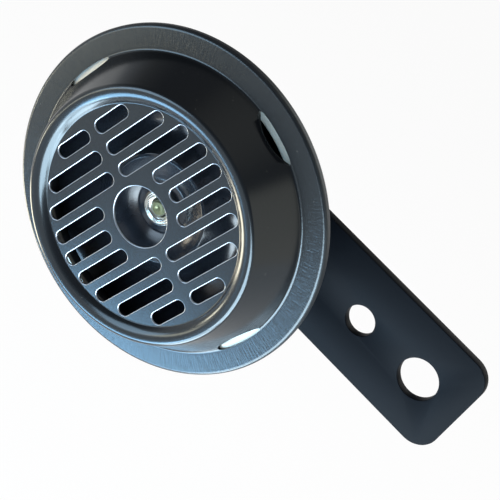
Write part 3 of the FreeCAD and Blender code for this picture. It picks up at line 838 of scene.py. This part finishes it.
# four vents through the foot of the skirt, cut with flat oval punches: their place and their half widths
VENT_PLACE = 0.02945
VENT_LONG = 0.0056
VENT_SHORT = 0.00085
VENT_SIDES = 56
PUNCH_DEPTH = 0.012
punch = bmesh.new()
for quarter in range(4):
    centre = Matrix.Rotation(quarter * math.pi / 2, 4, "Z") @ Matrix.Translation((VENT_PLACE, 0, 0))
    bmesh.ops.create_cone(
        punch, cap_ends=True, segments=VENT_SIDES, radius1=1, radius2=1, depth=PUNCH_DEPTH,
        matrix=centre @ Matrix.Diagonal((VENT_SHORT, VENT_LONG, 1, 1)),
    )
punch_mesh = bpy.data.meshes.new("vent_punch")
punch.to_mesh(punch_mesh)
punch.free()
punches = new_piece("vent_punch", punch_mesh, cover_paint)
cover = new_piece("front_cover_pressing", cover_mesh, cover_paint)
cut = cover.modifiers.new("vents", "BOOLEAN")
cut.operation = "DIFFERENCE"
cut.solver = "EXACT"
cut.object = punches
depsgraph = bpy.context.evaluated_depsgraph_get()
cut_mesh = bpy.data.meshes.new_from_object(cover.evaluated_get(depsgraph))
cover.modifiers.clear()
bpy.data.objects.remove(punches)
cover.data = cut_mesh
into_row(cut_mesh, FLANGE_FRONT, SLOT_TURN)
finish_mesh(cut_mesh, edge_angle=32)
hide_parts("front_cover")
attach(cover, "root")

# gloss paint: smoother on the bead, with fine pressing marks on the flange and worn slot edges
BEAD_EDGE = (0.0214, 0.0220)
FLANGE_EDGE = (0.0297, 0.0308)
RIM_EDGE = (0.0346, 0.0349)
FOLDS_ROUND = 560
FOLDS_OUT = 360
radius, angle, _ = around(place, AXIS)
grain = place.noise(2200, detail=2, rough=0.6)
cloud = place.noise(70, detail=3)
worn = place.node("ShaderNodeAttribute", {"attribute_name": "worn"}, {}, 2)
bead = radius.step(*BEAD_EDGE)
flange = radius.step(*FLANGE_EDGE)
rim = radius.step(*RIM_EDGE)
folds = place.node("ShaderNodeCombineXYZ", {}, {0: angle * FOLDS_ROUND, 1: radius * FOLDS_OUT})
folds = folds.noise(1.0, detail=3, rough=0.6)
dust = place.noise(1900, detail=1).step(0.77, 0.82) * bead
black = cloud.colour((0.0030, 0.0036, 0.0046), (0.0050, 0.0058, 0.0070))
zones = flange * (folds * 0.12) + rim * 0.3 - bead * 0.035 - worn * 0.06
feed(
    shader,
    {
        "Base Color": worn.colour(dust.colour(black, (0.060, 0.058, 0.052)), (0.50, 0.54, 0.60)),
        "Metallic": worn,
        "Roughness": 0.175 + zones + grain * 0.05 + cloud * 0.03,
        "Specular Tint": (0.80, 0.93, 1.0, 1.0),
    },
    height=grain * (1 - bead * 0.8) * 0.4 + flange * folds * 1.5,
    depth=0.000026,
)


# Bracket. A flat steel strip with an M6 and an M8 clearance hole, in smooth matt blue-black paint. The nut
# on the horn's stud clamps its other end.
bracket, shader, place = new_material("bracket_paint")
grain = place.noise(3200, detail=2)
cloud = place.noise(45, detail=3)
feed(
    shader,
    {
        "Base Color": cloud.colour((0.0015, 0.0022, 0.0033), (0.0026, 0.0036, 0.0053)),
        "Roughness": 0.38 + cloud * 0.1,
        "Specular IOR Level": 0.03,
    },
    height=grain,
    depth=0.000010,
)
softened("bracket", bracket, width=0.00035)


# Floor and light. The horn hangs by its bracket above a pale floor, in a white room with a dark ceiling and
# a soft glow at one side. A cool lamp low in front lights the face, cool and warm ones round it draw the
# bead and the edges, and soft lamps above and behind light the rest.
FLOOR_SIZE = 3.0
FLOOR_DROP = 0.30
FLOOR_GLOW = 0.94
floor_mesh = bpy.data.meshes.new("floor")
floor_mesh.from_pydata(
    [(x * FLOOR_SIZE, y * FLOOR_SIZE, -FLOOR_DROP) for x, y in ((-1, -1), (1, -1), (1, 1), (-1, 1))],
    [],
    [(0, 1, 2, 3)],
)
floor = bpy.data.objects.new("floor", floor_mesh)
bpy.context.scene.collection.objects.link(floor)
pale, shader, place = new_material("pale_floor")
feed(shader, {"Base Color": (0.86, 0.87, 0.88, 1.0), "Roughness": 0.9, "Specular IOR Level": 0.0})
tree = pale.node_tree
glow = place.node("ShaderNodeEmission", {}, {"Color": (1.0, 1.0, 1.0, 1.0), "Strength": 1.0})
rays = tree.nodes.new("ShaderNodeLightPath")
camera_ray, glossy_ray, through_ray = (
    Wire(rays.outputs[f"Is {kind} Ray"]) for kind in ("Camera", "Glossy", "Transmission")
)
seen = (camera_ray + glossy_ray + through_ray).clamp() * FLOOR_GLOW
blend = seen.node("ShaderNodeMixShader", {}, {0: seen, 1: Wire(shader.outputs[0]), 2: glow})
tree.links.new(blend.out, tree.nodes["Material Output"].inputs["Surface"])
floor_mesh.materials.append(pale)

world = bpy.data.worlds.new("studio")
world.use_nodes = True
tree = world.node_tree
look = Wire(tree.nodes.new("ShaderNodeTexCoord").outputs["Generated"])
_, _, rise = look.parts()
sky = rise.node("ShaderNodeValToRGB", {"stops": (
    (0.00, (1.00, 1.00, 1.00)),
    (0.07, (0.52, 0.54, 0.57)),
    (0.30, (0.22, 0.22, 0.22)),
    (0.55, (0.12, 0.12, 0.13)),
    (0.85, (0.17, 0.16, 0.16)),
    (1.00, (0.46, 0.42, 0.38)),
)}, {0: rise})
SIDE_GLOW = (0.90, 0.13, 0.41)
GLOW_EDGE = (0.87, 0.94)
toward = look.node("ShaderNodeVectorMath", {"operation": "DOT_PRODUCT"}, {0: look, 1: SIDE_GLOW}, 1)
side = toward.step(*GLOW_EDGE)
room = side.colour(sky, (1.10, 1.00, 0.86))
tree.links.new(room.out, tree.nodes["Background"].inputs["Color"])
bpy.context.scene.world = world

CENTRE = Vector((AXIS.x, FLANGE_FRONT - GRILLE_RISE, 0))
NEAR = 0.30
FAR = 0.60


def lamp(name, direction, distance, size, radiance, colour, glossy=True):
    """A soft lamp that faces the grille's middle, as bright as radiance, and seen in gloss unless told."""
    data = bpy.data.lights.new(name, "AREA")
    data.shape = "RECTANGLE"
    data.size, data.size_y = size
    data.energy = radiance * math.pi * size[0] * size[1]
    data.color = colour
    piece = bpy.data.objects.new(name, data)
    away = Vector(direction).normalized()
    place = CENTRE + away * distance
    piece.matrix_world = Matrix.Translation(place) @ away.to_track_quat("Z", "Y").to_matrix().to_4x4()
    piece.visible_camera = False
    piece.visible_glossy = glossy
    bpy.context.scene.collection.objects.link(piece)


COOL = (0.72, 0.88, 1.0)
WARM = (1.0, 0.88, 0.66)
WHITE = (1.0, 1.0, 1.0)
lamp("face_lamp", (-0.08, -0.60, -0.80), NEAR, (0.13, 0.10), 17.5, (0.36, 0.68, 1.0))
lamp("low_lamp", (0.22, -0.60, -0.76), NEAR, (0.11, 0.11), 13.0, COOL)
lamp("deep_lamp", (0.44, -0.30, -0.85), NEAR, (0.11, 0.13), 18.0, COOL)
lamp("bead_lamp", (0.56, -0.70, -0.36), NEAR, (0.19, 0.24), 18.0, COOL)
lamp("front_lamp", (-0.58, -0.80, 0.02), NEAR, (0.16, 0.16), 6.0, (0.60, 0.80, 1.0))
lamp("warm_front", (-0.58, -0.72, -0.38), NEAR, (0.05, 0.10), 6.0, WARM)
lamp("edge_lamp", (0.80, -0.40, -0.42), NEAR, (0.05, 0.16), 22.0, COOL)
lamp("warm_lamp", (-0.52, -0.12, -0.80), NEAR, (0.14, 0.08), 17.0, WARM)
lamp("warm_spot", (-0.68, -0.42, -0.55), NEAR, (0.05, 0.05), 20.0, WARM)
lamp("top_lamp", (0.0, -0.15, 1.0), FAR, (0.5, 0.5), 2.0, WHITE, glossy=False)
lamp("back_lamp", (0.3, 1.0, 0.45), FAR, (0.4, 0.4), 3.0, (1.0, 0.98, 0.95))

view = bpy.context.scene.view_settings
view.view_transform = "Standard"
